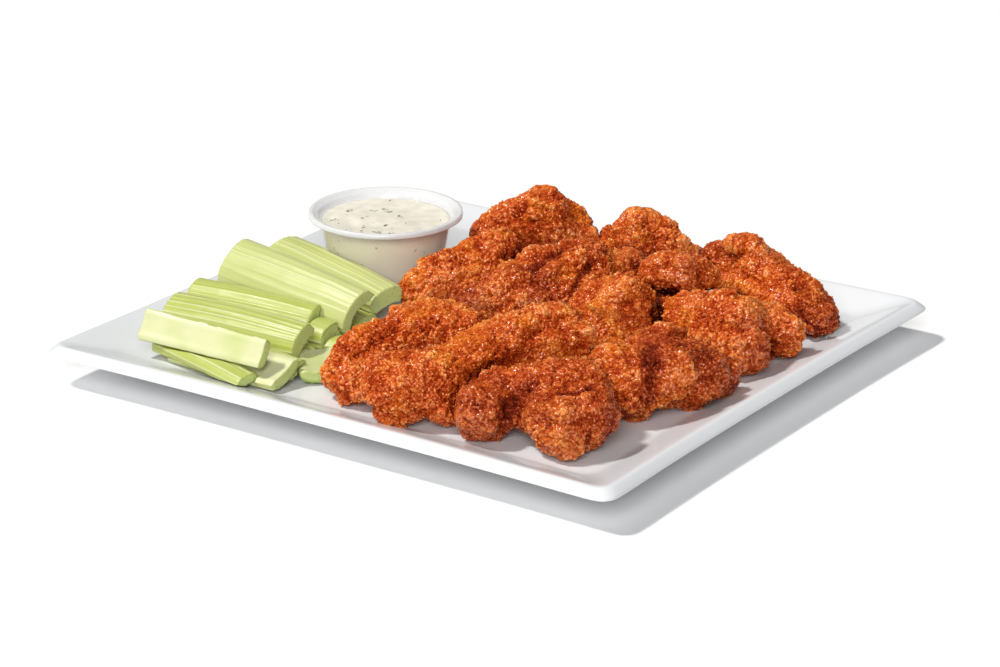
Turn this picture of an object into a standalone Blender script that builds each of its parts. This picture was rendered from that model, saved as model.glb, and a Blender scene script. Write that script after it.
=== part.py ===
"""A serving of twelve fried chicken wings with celery sticks and a pot of dip on a plate.

Units are metres and +Z is up. The origin is the middle of the plate's foot, on the table.
The plate's long side runs along X. Lengths in the tables below are millimetres.
"""
import math

import bmesh
import bpy
from mathutils import Matrix, Vector, noise

COLLECTION = "chicken_wings_serving"
CUTTERS = "cutters"
MM = 0.001
MERGE = 0.00002                   # points closer than this are one point
GAP = 0.0004                      # left between pieces that touch
MAX_SHELL_FACTOR = 3.0            # keeps the cutters' sharpest points short

# Plate: a rounded rectangle whose sides bow in a little, with a sloping rim.
PLATE_LENGTH = 0.280
PLATE_WIDTH = 0.260
SIDE_BOW = 0.0023                 # how far the middle of a side lies inside its corners
CORNER_RADIUS = 0.010
RIM_HEIGHT = 0.0175               # crest of the rim above the table
LIP_HEIGHT = 0.0140               # lowest point of the rim's outer band
CREST_INSET = 0.0045              # from the outer edge in to the crest
CREST_WIDTH = 0.0020
WELL_HEIGHT = 0.0115              # floor of the well above the table
WELL_INSET = 0.0230               # from the outer edge in to the floor of the well
PLATE_THICKNESS = 0.0050
FOOT_INSET = 0.0420
FOOT_WIDTH = 0.0080
FOOT_RECESS = 0.0050              # height of the underside inside the foot ring
FOOT_DRAFT = 0.0020               # how far the foot's inner side leans
FOOT_OUTER_DRAFT = 0.0040
EDGE_ROUND = 0.0005               # rounding of the rim's outermost edge
UNDERCUT_INSET = 0.0030           # where the rim's underside turns in from its edge
SIDE_STEPS = 6
CORNER_STEPS = 4

# Portion cup and the dip in it.
CUP_PLACE = (-0.0760, 0.0270)
CUP_RIM_RADIUS = 0.0335
CUP_BASE_RADIUS = 0.0235
CUP_NECK_RADIUS = 0.0293          # where the wall's taper would meet the rim's top
CUP_HEIGHT = 0.0335
CUP_WALL = 0.0008
CUP_ROLL = 0.0011                 # radius of the rolled rim
CUP_FLANGE_RISE = 0.0013          # how far the flange's inner edge lies below the rim's top
CUP_FLANGE_SPREAD = 0.0011        # how far that edge lies outside the wall's inner face
CUP_FOOT_STEP = 0.0012            # size of the bevel round the cup's foot
CUP_FLOOR = 0.0010
CUP_INNER_CURVE = 0.0020          # radius between the cup's floor and its wall
CUP_ROLL_STEPS = 5
CUP_STEPS = 36
DIP_DEPTH_BELOW_RIM = 0.0040
DIP_WAVE = 0.0007
DIP_WAVE_PITCH = 0.007
DIP_STILL_RADIUS = 0.012          # the waves die away inside this radius
DIP_RINGS = (0.3, 0.6, 0.85)
DIP_EDGE_DROP = 0.0005            # how far the dip's surface falls at the wall

# Wings: voxel size that fuses the lobes, and triangles kept for each wing.
WING_VOXEL = 0.0016
WING_TRIANGLES = 385
WING_SMOOTHING = 6
LUMP_SIZE = 0.011
LUMP_HEIGHT = 0.0016

# Each wing: heading of its long axis in degrees, then its lobes as
# (x, y, up, half length, half width, half height), up being measured from the well.
WINGS = {
    "wing_01": (25, (
        (62, -97, 12, 12, 12, 12), (66, -87, 17, 14, 10, 10), (80, -80, 18, 16, 12, 12),
        (82, -87, 13, 16, 10, 9), (94, -92, 13, 13, 12, 13), (102, -84, 15, 10, 11, 13),
        (86, -75, 21, 16, 11, 11))),
    "wing_02": (55, (
        (24, -101, 15, 15, 15, 15), (35, -91, 17, 18, 14, 13), (43, -94, 8, 10, 8, 8),
        (43, -73, 19, 20, 15, 14), (49, -56, 21, 18, 15, 15), (57, -42, 24, 14, 15, 14),
        (40, -60, 12, 22, 15, 12))),
    "wing_03": (62, (
        (-10, -92, 10, 10, 9, 9), (-2, -95, 8, 10, 9, 8), (-6, -75, 14, 20, 13, 13),
        (2, -57, 17, 20, 15, 14), (13, -46, 17, 16, 15, 13), (-6, -48, 10, 20, 13, 10),
        (-11, -44, 17, 11, 9, 9))),
    "wing_04": (52, (
        (-39, 3, 11, 11, 9, 9), (-34, 16, 15, 17, 11, 12), (-26, 28, 18, 15, 13, 13),
        (-22, 36, 19, 12, 12, 12), (-26, 20, 10, 20, 13, 10))),
    "wing_05": (54, (
        (-8, 4, 11, 13, 9, 9), (0, 15, 15, 16, 12, 12), (5, 30, 17, 17, 15, 13),
        (14, 45, 19, 15, 14, 14), (22, 60, 15, 15, 10, 9), (27, 68, 12, 9, 8, 8),
        (8, 18, 11, 20, 14, 11), (19, 36, 12, 18, 13, 12))),
    "wing_06": (45, (
        (-45, 67, 18, 11, 9, 10), (-39, 76, 17, 16, 13, 15), (-30, 83, 21, 15, 14, 16),
        (-25, 92, 15, 14, 13, 13), (-36, 82, 12, 20, 16, 12))),
    "wing_07": (20, (
        (-7, 101, 11, 9, 8, 8), (10, 98, 16, 12, 12, 15), (18, 100, 14, 13, 11, 13),
        (28, 105, 8, 10, 8, 8), (10, 104, 9, 20, 13, 9))),
    "wing_08": (15, (
        (35, 14, 12, 10, 7, 7), (42, 22, 15, 14, 12, 12), (51, 21, 17, 12, 13, 14),
        (55, 25, 10, 10, 11, 10), (45, 30, 10, 14, 13, 10), (48, 13, 6, 13, 9, 7))),
    "wing_09": (-55, (
        (53, 46, 24, 9, 9, 8), (61, 50, 25, 10, 10, 9), (67, 56, 22, 9, 8, 7),
        (52, 60, 16, 14, 11, 11), (44, 72, 11, 14, 11, 10))),
    "wing_10": (15, (
        (63, 41, 10, 10, 9, 9), (79, 33, 13, 17, 12, 12), (100, 24, 16, 16, 15, 15),
        (109, 21, 11, 11, 12, 11), (111, 43, 11, 11, 12, 11), (99, 38, 13, 15, 12, 11),
        (78, 54, 7, 15, 13, 10))),
    "wing_11": (-20, (
        (57, 87, 18, 9, 8, 9), (67, 90, 17, 13, 12, 13), (80, 84, 16, 14, 13, 13),
        (93, 80, 13, 14, 13, 13), (105, 78, 11, 12, 12, 11), (112, 76, 8, 10, 10, 8),
        (71, 84, 31, 11, 8, 4), (78, 92, 10, 18, 13, 10))),
    "wing_12": (40, (
        (86, -44, 17, 11, 11, 11), (96, -47, 13, 14, 14, 13), (105, -38, 19, 16, 14, 13),
        (111, -23, 14, 14, 14, 14), (112, -7, 8, 10, 9, 8), (94, -22, 20, 14, 11, 10),
        (96, -32, 12, 18, 16, 12), (78, -27, 9, 14, 11, 9), (67, -29, 8, 12, 10, 9))),
}

# Each celery stick: place of its middle, height of its middle above the well, heading and
# tilt in degrees, roll about its own length, then length, width and thickness.
CELERY = {
    "celery_01": ((-81, -5), 12, -15, -2, 12, 74, 20, 11),
    "celery_02": ((-77, -37), 17, -9, -3, 42, 76, 23, 12),
    "celery_03": ((-84, -57), 12, 4, 0, 36, 62, 17, 9),
    "celery_04": ((-78, -76), 11, 0, 1, 36, 70, 18, 10),
    "celery_05": ((-74, -102), 14, -2, 1, 240, 65, 13, 6),
    "celery_06": ((-73, -103), 5, -13, -2, 12, 56, 12, 6),
    "celery_07": ((-63, -97), 6, -4, 0, 204, 58, 19, 7),
    "celery_08": ((-69, -55), 7, -2, 1, 8, 52, 16, 12),
    "celery_09": ((-34, -78), 4, -48, 0, 180, 26, 18, 7),
    "celery_10": ((-47, -57), 4, 10, 0, 0, 24, 13, 8),
    "celery_11": ((-74, -26), 4, -5, 0, 5, 56, 16, 7),
    "celery_12": ((-60, -88), 5, -4, 0, 8, 50, 13, 8),
}
CELERY_SECTION_STEPS = 9
CELERY_STATIONS = 4
CELERY_TAPER = 0.06               # share by which the ends differ from the middle
CELERY_SAG = 0.02                 # rise of the middle over the ends, as a share of the length
CELERY_EDGE = 0.25                # thickness at a stick's edges, as a share of the middle's
CELERY_ARCH_POWER = 0.55          # 1 is a round top, and less is squarer
CELERY_HOLLOW = 0.22              # depth of the hollow, as a share of the thickness
CELERY_HOLLOWS = {"celery_02": 0.55}   # sticks that are hollowed more than that
HOLLOW_SHARES = (-0.7, -0.35, 0.0, 0.35, 0.7)   # places across the hollow, as shares of half the width

COLOURS = {
    "porcelain": ((0.86, 0.86, 0.87), 0.12),
    "cup_plastic": ((0.84, 0.84, 0.82), 0.30),
    "dip": ((0.86, 0.83, 0.72), 0.40),
    "fried_crust": ((0.55, 0.13, 0.03), 0.55),
    "celery": ((0.62, 0.72, 0.25), 0.40),
}


def clear_scene():
    for thing in list(bpy.data.objects):
        bpy.data.objects.remove(thing)


def make_collection(name):
    collection = bpy.data.collections.new(name)
    bpy.context.scene.collection.children.link(collection)
    return collection


def make_material(name):
    colour, roughness = COLOURS[name]
    material = bpy.data.materials.new(name)
    material.use_nodes = True
    shader = material.node_tree.nodes["Principled BSDF"]
    shader.inputs["Base Color"].default_value = (*colour, 1.0)
    shader.inputs["Roughness"].default_value = roughness
    shader.inputs["Metallic"].default_value = 0.0
    material.diffuse_color = (*colour, 1.0)
    return material


def object_from_bmesh(name, shape, collection, material=None):
    bmesh.ops.recalc_face_normals(shape, faces=shape.faces)
    mesh = bpy.data.meshes.new(name)
    shape.to_mesh(mesh)
    shape.free()
    piece = bpy.data.objects.new(name, mesh)
    collection.objects.link(piece)
    if material:
        mesh.materials.append(material)
    return piece


def evaluated_copy(piece):
    bpy.context.view_layer.update()
    depsgraph = bpy.context.evaluated_depsgraph_get()
    return bpy.data.meshes.new_from_object(piece.evaluated_get(depsgraph))


def apply_modifiers(piece):
    mesh = evaluated_copy(piece)
    piece.modifiers.clear()
    piece.data = mesh


# ---------------------------------------------------------------- plate

def side_point(half_along, half_across, along, inset):
    """A point on one bowed side, along from -1 to 1, in that side's own directions."""
    bow = SIDE_BOW * (1 - along ** 4)
    return (along * (half_along - inset), half_across - inset - bow)


def plate_outline(inset, radius):
    """The plate's outline, moved in by inset, as points that run counter-clockwise."""
    half = (PLATE_LENGTH / 2, PLATE_WIDTH / 2)
    points = []
    for turn in range(4):
        half_along = half[turn % 2]
        half_across = half[(turn + 1) % 2]
        reach = 1 - radius / (half_along - inset)
        spin = Matrix.Rotation(math.radians(90 * turn), 2)
        for step in range(SIDE_STEPS + 1):
            along = reach * (2 * step / SIDE_STEPS - 1)
            x, y = side_point(half_along, half_across, along, inset)
            points.append(spin @ Vector((x, -y)))
        start = points[-1]
        corner = spin @ Vector((half_along - inset, inset - half_across))
        next_spin = Matrix.Rotation(math.radians(90 * (turn + 1)), 2)
        reach = 1 - radius / (half_across - inset)
        x, y = side_point(half_across, half_along, -reach, inset)
        end = next_spin @ Vector((x, -y))
        for step in range(1, CORNER_STEPS):
            t = step / CORNER_STEPS
            points.append((1 - t) ** 2 * start + 2 * t * (1 - t) * corner + t * t * end)
    return points


def plate_rings():
    """Each ring's inset, height and corner radius, from the middle underneath out and over."""
    under = WELL_HEIGHT - PLATE_THICKNESS
    foot_inner = FOOT_INSET + FOOT_WIDTH
    edge = CORNER_RADIUS
    return (
        (foot_inner + FOOT_DRAFT, FOOT_RECESS, 1.4 * edge),
        (foot_inner, 0.0, 1.6 * edge),
        (FOOT_INSET, 0.0, 2.2 * edge),
        (FOOT_INSET - FOOT_OUTER_DRAFT, under - 0.0010, 2.4 * edge),
        (WELL_INSET, under + 0.0010, 1.6 * edge),
        (UNDERCUT_INSET, LIP_HEIGHT - 0.0012, edge),
        (EDGE_ROUND, LIP_HEIGHT - 1.2 * EDGE_ROUND, edge),
        (0.0, LIP_HEIGHT, edge),
        (CREST_INSET - 0.0012, RIM_HEIGHT - EDGE_ROUND, 0.9 * edge),
        (CREST_INSET, RIM_HEIGHT, 0.85 * edge),
        (CREST_INSET + CREST_WIDTH, RIM_HEIGHT - 0.0003, 0.8 * edge),
        (WELL_INSET - 0.0030, WELL_HEIGHT + 0.0008, 1.1 * edge),
        (WELL_INSET, WELL_HEIGHT, 1.2 * edge),
    )


def make_plate(collection, material):
    shape = bmesh.new()
    loops = []
    for inset, height, radius in plate_rings():
        outline = plate_outline(inset, radius)
        loops.append([shape.verts.new((p.x, p.y, height)) for p in outline])
    for lower, upper in zip(loops, loops[1:]):
        count = len(lower)
        for i in range(count):
            j = (i + 1) % count
            shape.faces.new((lower[i], lower[j], upper[j], upper[i]))
    shape.faces.new(list(reversed(loops[0])))
    shape.faces.new(loops[-1])
    bmesh.ops.triangulate(shape, faces=[f for f in shape.faces if len(f.verts) > 4])
    return object_from_bmesh("plate", shape, collection, material)


# ---------------------------------------------------------------- cup and dip

def turned(name, profile, steps, collection, material):
    """A solid turned from a profile that starts and ends on the axis."""
    shape = bmesh.new()
    points = [shape.verts.new((radius, 0.0, height)) for radius, height in profile]
    for first, second in zip(points, points[1:]):
        shape.edges.new((first, second))
    mesh = bpy.data.meshes.new(name)
    shape.to_mesh(mesh)
    shape.free()
    mesh.materials.append(material)
    piece = bpy.data.objects.new(name, mesh)
    collection.objects.link(piece)
    screw = piece.modifiers.new("turn", "SCREW")
    screw.steps = steps
    screw.render_steps = steps
    screw.use_merge_vertices = True
    screw.merge_threshold = 0.0001
    screw.use_smooth_shade = True
    return piece


def cup_radius(height):
    """Outside radius of the cup's wall at a height above its base."""
    share = height / CUP_HEIGHT
    return CUP_BASE_RADIUS + (CUP_NECK_RADIUS - CUP_BASE_RADIUS) * share


def make_cup(collection, material):
    top = CUP_HEIGHT
    wall_start = CUP_FLOOR + CUP_INNER_CURVE
    wall_end = top - 3 * CUP_ROLL
    roll_middle = CUP_RIM_RADIUS - CUP_ROLL
    profile = [(0.0, CUP_FLOOR)]
    profile.append((cup_radius(CUP_FLOOR) - CUP_WALL - CUP_INNER_CURVE, CUP_FLOOR))
    profile.append((cup_radius(wall_start) - CUP_WALL, wall_start))
    profile.append((cup_radius(wall_end) - CUP_WALL, wall_end))
    flange = top - CUP_FLANGE_RISE
    profile.append((cup_radius(flange) - CUP_WALL + CUP_FLANGE_SPREAD, flange))
    for step in range(CUP_ROLL_STEPS + 1):
        angle = math.radians(170 - 260 * step / CUP_ROLL_STEPS)
        x = roll_middle + 1.25 * CUP_ROLL * math.cos(angle)
        profile.append((x, top - CUP_ROLL + CUP_ROLL * math.sin(angle)))
    neck = flange - CUP_WALL
    profile.append((cup_radius(neck) + CUP_FLANGE_SPREAD / 2, neck))
    profile.append((cup_radius(wall_end - CUP_ROLL), wall_end - CUP_ROLL))
    profile.append((cup_radius(CUP_FOOT_STEP), CUP_FOOT_STEP))
    profile.append((cup_radius(0.0) - CUP_FOOT_STEP, 0.0))
    profile.append((0.0, 0.0))
    cup = turned("cup", profile, CUP_STEPS, collection, material)
    cup.location = (*CUP_PLACE, WELL_HEIGHT + GAP)
    return cup


def dip_wave(x, y):
    """Height of the stirred surface of the dip above its level."""
    radius = math.hypot(x, y)
    angle = math.atan2(y, x)
    swirl = math.sin(2 * angle + radius / DIP_WAVE_PITCH)
    return DIP_WAVE * swirl * min(1.0, radius / DIP_STILL_RADIUS)


def make_dip(collection, material):
    level = CUP_HEIGHT - DIP_DEPTH_BELOW_RIM
    edge = cup_radius(level) - CUP_WALL - GAP
    foot = CUP_FLOOR + GAP
    wall_start = foot + CUP_INNER_CURVE + GAP
    profile = [(0.0, level)]
    for share in DIP_RINGS:
        profile.append((edge * share, level))
    profile.append((edge, level - DIP_EDGE_DROP))
    profile.append((cup_radius(wall_start) - CUP_WALL - GAP, wall_start))
    profile.append((cup_radius(foot) - CUP_WALL - GAP - CUP_INNER_CURVE, foot))
    profile.append((0.0, foot))
    dip = turned("dip", profile, CUP_STEPS, collection, material)
    apply_modifiers(dip)
    for vertex in dip.data.vertices:
        if vertex.co.z > level - DIP_EDGE_DROP / 2:
            vertex.co.z += dip_wave(vertex.co.x, vertex.co.y)
    dip.location = (*CUP_PLACE, WELL_HEIGHT + GAP)
    return dip


# ---------------------------------------------------------------- wings

def add_lobe(shape, place, sizes, spin):
    made = bmesh.ops.create_icosphere(shape, subdivisions=3, radius=1.0)
    matrix = Matrix.Translation(place) @ spin @ Matrix.Diagonal((*sizes, 1.0))
    bmesh.ops.transform(shape, matrix=matrix, verts=made["verts"])


def add_lumps(mesh, seed):
    """Pushes the skin in and out in broad lumps, the same way each time."""
    offset = Vector((seed * 7.3, seed * 3.1, seed * 5.7))
    moved = []
    for vertex in mesh.vertices:
        spot = vertex.co / LUMP_SIZE + offset
        moved.append(vertex.co + vertex.normal * LUMP_HEIGHT * noise.noise(spot))
    for vertex, spot in zip(mesh.vertices, moved):
        vertex.co = spot


def make_wing(name, heading, lobes, collection, material):
    shape = bmesh.new()
    spin = Matrix.Rotation(math.radians(heading), 4, "Z")
    for x, y, up, *sizes in lobes:
        place = Vector((x * MM, y * MM, WELL_HEIGHT + up * MM))
        add_lobe(shape, place, [size * MM for size in sizes], spin)
    wing = object_from_bmesh(name, shape, collection, material)
    fuse = wing.modifiers.new("fuse", "REMESH")
    fuse.mode = "VOXEL"
    fuse.voxel_size = WING_VOXEL
    smooth = wing.modifiers.new("smooth", "SMOOTH")
    smooth.iterations = WING_SMOOTHING
    apply_modifiers(wing)
    add_lumps(wing.data, int(name[-2:]))
    thin = wing.modifiers.new("thin", "DECIMATE")
    triangles = sum(len(face.vertices) - 2 for face in wing.data.polygons)
    thin.ratio = WING_TRIANGLES / triangles
    thin.use_collapse_triangulate = True
    apply_modifiers(wing)
    return wing


# ---------------------------------------------------------------- celery

def celery_section(width, thickness, depth):
    """A stick's cross-section: a squarish arch above and a hollow below."""
    points = []
    for step in range(CELERY_SECTION_STEPS + 1):
        angle = math.pi * step / CELERY_SECTION_STEPS
        arch = CELERY_EDGE + (1 - CELERY_EDGE) * max(0.0, math.sin(angle)) ** CELERY_ARCH_POWER
        points.append((width / 2 * math.cos(angle), thickness * (arch - 0.5)))
    for share in HOLLOW_SHARES:
        hollow = depth * (1 - share * share)
        points.append((share * width / 2, thickness * (hollow - 0.5)))
    return points


def celery_placement(place, up, heading, tilt, roll):
    """Where a stick lies: rolled about its length, tilted, turned and moved."""
    middle = Vector((place[0] * MM, place[1] * MM, WELL_HEIGHT + up * MM))
    turn = Matrix.Rotation(math.radians(heading), 4, "Z")
    turn = turn @ Matrix.Rotation(math.radians(-tilt), 4, "Y")
    turn = turn @ Matrix.Rotation(math.radians(roll), 4, "X")
    return Matrix.Translation(middle) @ turn


def make_celery(name, placement, size, collection, material):
    length, width, thickness = (value * MM for value in size)
    shape = bmesh.new()
    section = celery_section(width, thickness, CELERY_HOLLOWS.get(name, CELERY_HOLLOW))
    loops = []
    for station in range(CELERY_STATIONS + 1):
        share = 2 * station / CELERY_STATIONS - 1
        grow = 1 - CELERY_TAPER * share
        sag = CELERY_SAG * length * (1 - share * share)
        x = share * length / 2
        loops.append([shape.verts.new((x, y * grow, z * grow + sag)) for y, z in section])
    for lower, upper in zip(loops, loops[1:]):
        count = len(lower)
        for i in range(count):
            j = (i + 1) % count
            shape.faces.new((lower[i], lower[j], upper[j], upper[i]))
    shape.faces.new(loops[0])
    shape.faces.new(loops[-1])
    bmesh.ops.triangulate(shape, faces=[f for f in shape.faces if len(f.verts) > 4])
    bmesh.ops.transform(shape, matrix=placement, verts=shape.verts)
    return object_from_bmesh(name, shape, collection, material)


# ---------------------------------------------------------------- fitting together

def world_box(piece):
    corners = [piece.matrix_world @ Vector(corner) for corner in piece.bound_box]
    low = Vector([min(corner[axis] for corner in corners) for axis in range(3)])
    high = Vector([max(corner[axis] for corner in corners) for axis in range(3)])
    return low, high


def boxes_meet(first, second):
    low_a, high_a = world_box(first)
    low_b, high_b = world_box(second)
    return all(low_a[i] < high_b[i] + GAP and low_b[i] < high_a[i] + GAP for i in range(3))


def swollen_copy(piece, cutters):
    """A cutter: the piece grown by the gap all over."""
    mesh = evaluated_copy(piece)
    mesh.transform(piece.matrix_world)
    shape = bmesh.new()
    shape.from_mesh(mesh)
    for vertex in shape.verts:
        vertex.normal_update()
    moved = []
    for vertex in shape.verts:
        growth = GAP * min(vertex.calc_shell_factor(), MAX_SHELL_FACTOR)
        moved.append(vertex.co + vertex.normal * growth)
    for vertex, spot in zip(shape.verts, moved):
        vertex.co = spot
    shape.to_mesh(mesh)
    shape.free()
    cutter = bpy.data.objects.new(piece.name + "_cutter", mesh)
    cutters.objects.link(cutter)
    cutter.hide_render = True
    cutter.display_type = "WIRE"
    return cutter


def keep_largest_body(piece):
    """Drops the crumbs of material that a cut has parted from the piece."""
    shape = bmesh.new()
    shape.from_mesh(piece.data)
    bmesh.ops.remove_doubles(shape, verts=shape.verts, dist=MERGE)
    bmesh.ops.dissolve_degenerate(shape, edges=shape.edges, dist=MERGE)
    waiting = set(shape.faces)
    bodies = []
    while waiting:
        body = set()
        front = [waiting.pop()]
        while front:
            face = front.pop()
            body.add(face)
            for edge in face.edges:
                for other in edge.link_faces:
                    if other in waiting:
                        waiting.discard(other)
                        front.append(other)
        bodies.append(body)
    bodies.sort(key=len)
    for body in bodies[:-1]:
        bmesh.ops.delete(shape, geom=list(body), context="FACES")
    bmesh.ops.triangulate(shape, faces=shape.faces)
    shape.to_mesh(piece.data)
    shape.free()


def press_against(piece, neighbours, cutters):
    """Cuts the piece back where it would run into what already lies there."""
    bpy.context.view_layer.update()
    for neighbour in neighbours:
        if not boxes_meet(piece, neighbour):
            continue
        cut = piece.modifiers.new("cut", "BOOLEAN")
        cut.operation = "DIFFERENCE"
        cut.solver = "EXACT"
        cut.object = cutters.get(neighbour.name)
        apply_modifiers(piece)
        keep_largest_body(piece)


def main():
    clear_scene()
    collection = make_collection(COLLECTION)
    cutters_collection = make_collection(CUTTERS)
    materials = {name: make_material(name) for name in COLOURS}
    placed = [make_plate(collection, materials["porcelain"])]
    placed.append(make_cup(collection, materials["cup_plastic"]))
    make_dip(collection, materials["dip"])
    food = []
    for name, (heading, lobes) in WINGS.items():
        food.append(make_wing(name, heading, lobes, collection, materials["fried_crust"]))
    for name, (place, up, heading, tilt, roll, *size) in CELERY.items():
        placement = celery_placement(place, up, heading, tilt, roll)
        food.append(make_celery(name, placement, size, collection, materials["celery"]))
    bpy.context.view_layer.update()
    cutters = {}
    for piece in placed + food:
        cutters[piece.name] = swollen_copy(piece, cutters_collection)
    for piece in food:
        press_against(piece, placed, cutters)
        placed.append(piece)


main()
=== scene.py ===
"""Dresses a plate of fried chicken wings: crust, celery, cup, dip, herbs and crumbs.

Lengths are metres, apart from the millimetres in FURROWS. The frame's origin is under the middle
of the plate.
"""

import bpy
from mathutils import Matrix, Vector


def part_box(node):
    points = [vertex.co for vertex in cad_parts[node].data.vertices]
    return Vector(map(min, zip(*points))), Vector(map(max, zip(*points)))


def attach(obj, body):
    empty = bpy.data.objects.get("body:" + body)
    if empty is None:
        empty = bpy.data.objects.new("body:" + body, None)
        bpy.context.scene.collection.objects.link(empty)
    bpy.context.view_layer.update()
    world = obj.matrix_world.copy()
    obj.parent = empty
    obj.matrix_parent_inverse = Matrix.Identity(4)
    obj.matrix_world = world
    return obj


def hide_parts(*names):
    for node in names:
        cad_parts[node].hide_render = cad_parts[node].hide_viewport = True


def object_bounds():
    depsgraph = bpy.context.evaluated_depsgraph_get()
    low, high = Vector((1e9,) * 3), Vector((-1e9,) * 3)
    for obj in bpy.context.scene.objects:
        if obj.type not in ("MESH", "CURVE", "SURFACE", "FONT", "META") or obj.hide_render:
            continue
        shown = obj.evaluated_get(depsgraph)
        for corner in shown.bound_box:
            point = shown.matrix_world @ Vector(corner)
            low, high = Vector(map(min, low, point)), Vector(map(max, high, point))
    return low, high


bl_info = {
    "name": "Chicken Wings Serving",
    "version": (1, 0, 0),
    "blender": (4, 5, 0),
    "location": "View3D > Sidebar > Serving",
    "description": "Models and finishes a plate of fried wings with celery and a pot of dip",
    "category": "Add Mesh",
}

import math
import random

import bmesh
import bpy
import numpy as np
from bpy.props import FloatProperty, FloatVectorProperty, IntProperty, PointerProperty
from mathutils import Matrix, Vector, noise

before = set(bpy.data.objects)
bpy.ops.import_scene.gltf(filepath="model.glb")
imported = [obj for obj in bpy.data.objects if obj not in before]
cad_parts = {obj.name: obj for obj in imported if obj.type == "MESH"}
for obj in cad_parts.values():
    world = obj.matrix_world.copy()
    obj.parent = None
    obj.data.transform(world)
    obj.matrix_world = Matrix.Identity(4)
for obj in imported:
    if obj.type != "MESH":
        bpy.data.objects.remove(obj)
CAD_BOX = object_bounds()

MM = 0.001
WELD = 0.00001

# The cup's outside radius at its foot and under its rim, and the thickness of its wall. The dip
# reaches a little way into that wall, and its flecks stand a little further out than the dip.
CUP_BASE = 0.0235
CUP_NECK = 0.0293
CUP_THICKNESS = 0.0008
DIP_INTO_WALL = 0.00025
FLECK_DEPTH = 0.00045
DIP_WAVES = 0.0006
HERB_CLUSTERS = 15

# Sizes of what makes up the crust, and the usual height of each one's field, which is taken off
# so that the crust grows inwards as much as outwards.
FOLD_SIZE, USUAL_FOLD = 0.0100, 0.38
LOBE_SIZE, USUAL_LOBE = 0.0056, 0.36
KNOB_SIZE, USUAL_KNOB = 0.0027, 0.35
GRAIN_SIZE, USUAL_GRAIN = 0.00118, 0.35
CRUMB_SIZE = 0.00095
SKIN_FACES = 68000.0

# Grid that tells where wings crowd each other, its spare cells all round, and the share at which
# a spot counts as wholly crowded.
CROWD_CELL = 0.0015
CROWD_MARGIN = 4
CROWD_FULL = 0.22

STICK_CELL = 0.00048
RIB_WIDTH = 0.00055

# The camera's lens and what it looks at, and where the lights come from: right, ahead and up.
SENSOR_MM = 36.0
LENS_MM = 120.9
AIM = Vector((0.0092, -0.0095, 0.0170))
KEY_FROM = (-0.62, 0.02, 1.0)
FILL_FROM = (-0.12, -1.00, 0.60)

# How much browner than the rest each wing is, or paler where it is below zero.
BROWNED = {"wing_01": 0.38, "wing_02": -0.45, "wing_03": -0.30, "wing_04": -0.20, "wing_05": 0.30,
           "wing_06": -0.15, "wing_08": -0.55, "wing_09": 0.15, "wing_10": 0.08, "wing_11": 0.20,
           "wing_12": 0.30}
WINGS = sorted(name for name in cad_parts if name.startswith("wing"))
STICKS = sorted(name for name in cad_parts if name.startswith("celery"))

# How pale the skin and flesh of a stick are. The rest are at zero.
PALE_STICKS = {"celery_01": 0.7, "celery_02": 1.0, "celery_05": 0.3, "celery_07": 1.0}

# How each stick lies, in degrees: heading, tilt and roll about its length.
STICK_TURNS = {
    "celery_01": (-15, -2, 12), "celery_02": (-9, -3, 42), "celery_03": (4, 0, 36),
    "celery_04": (0, 1, 36), "celery_05": (-2, 1, 240), "celery_06": (-13, -2, 12),
    "celery_07": (-4, 0, 204), "celery_08": (-2, 1, 8), "celery_09": (-48, 0, 180),
    "celery_10": (10, 0, 0), "celery_11": (-5, 0, 5), "celery_12": (-4, 0, 8),
}

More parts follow.
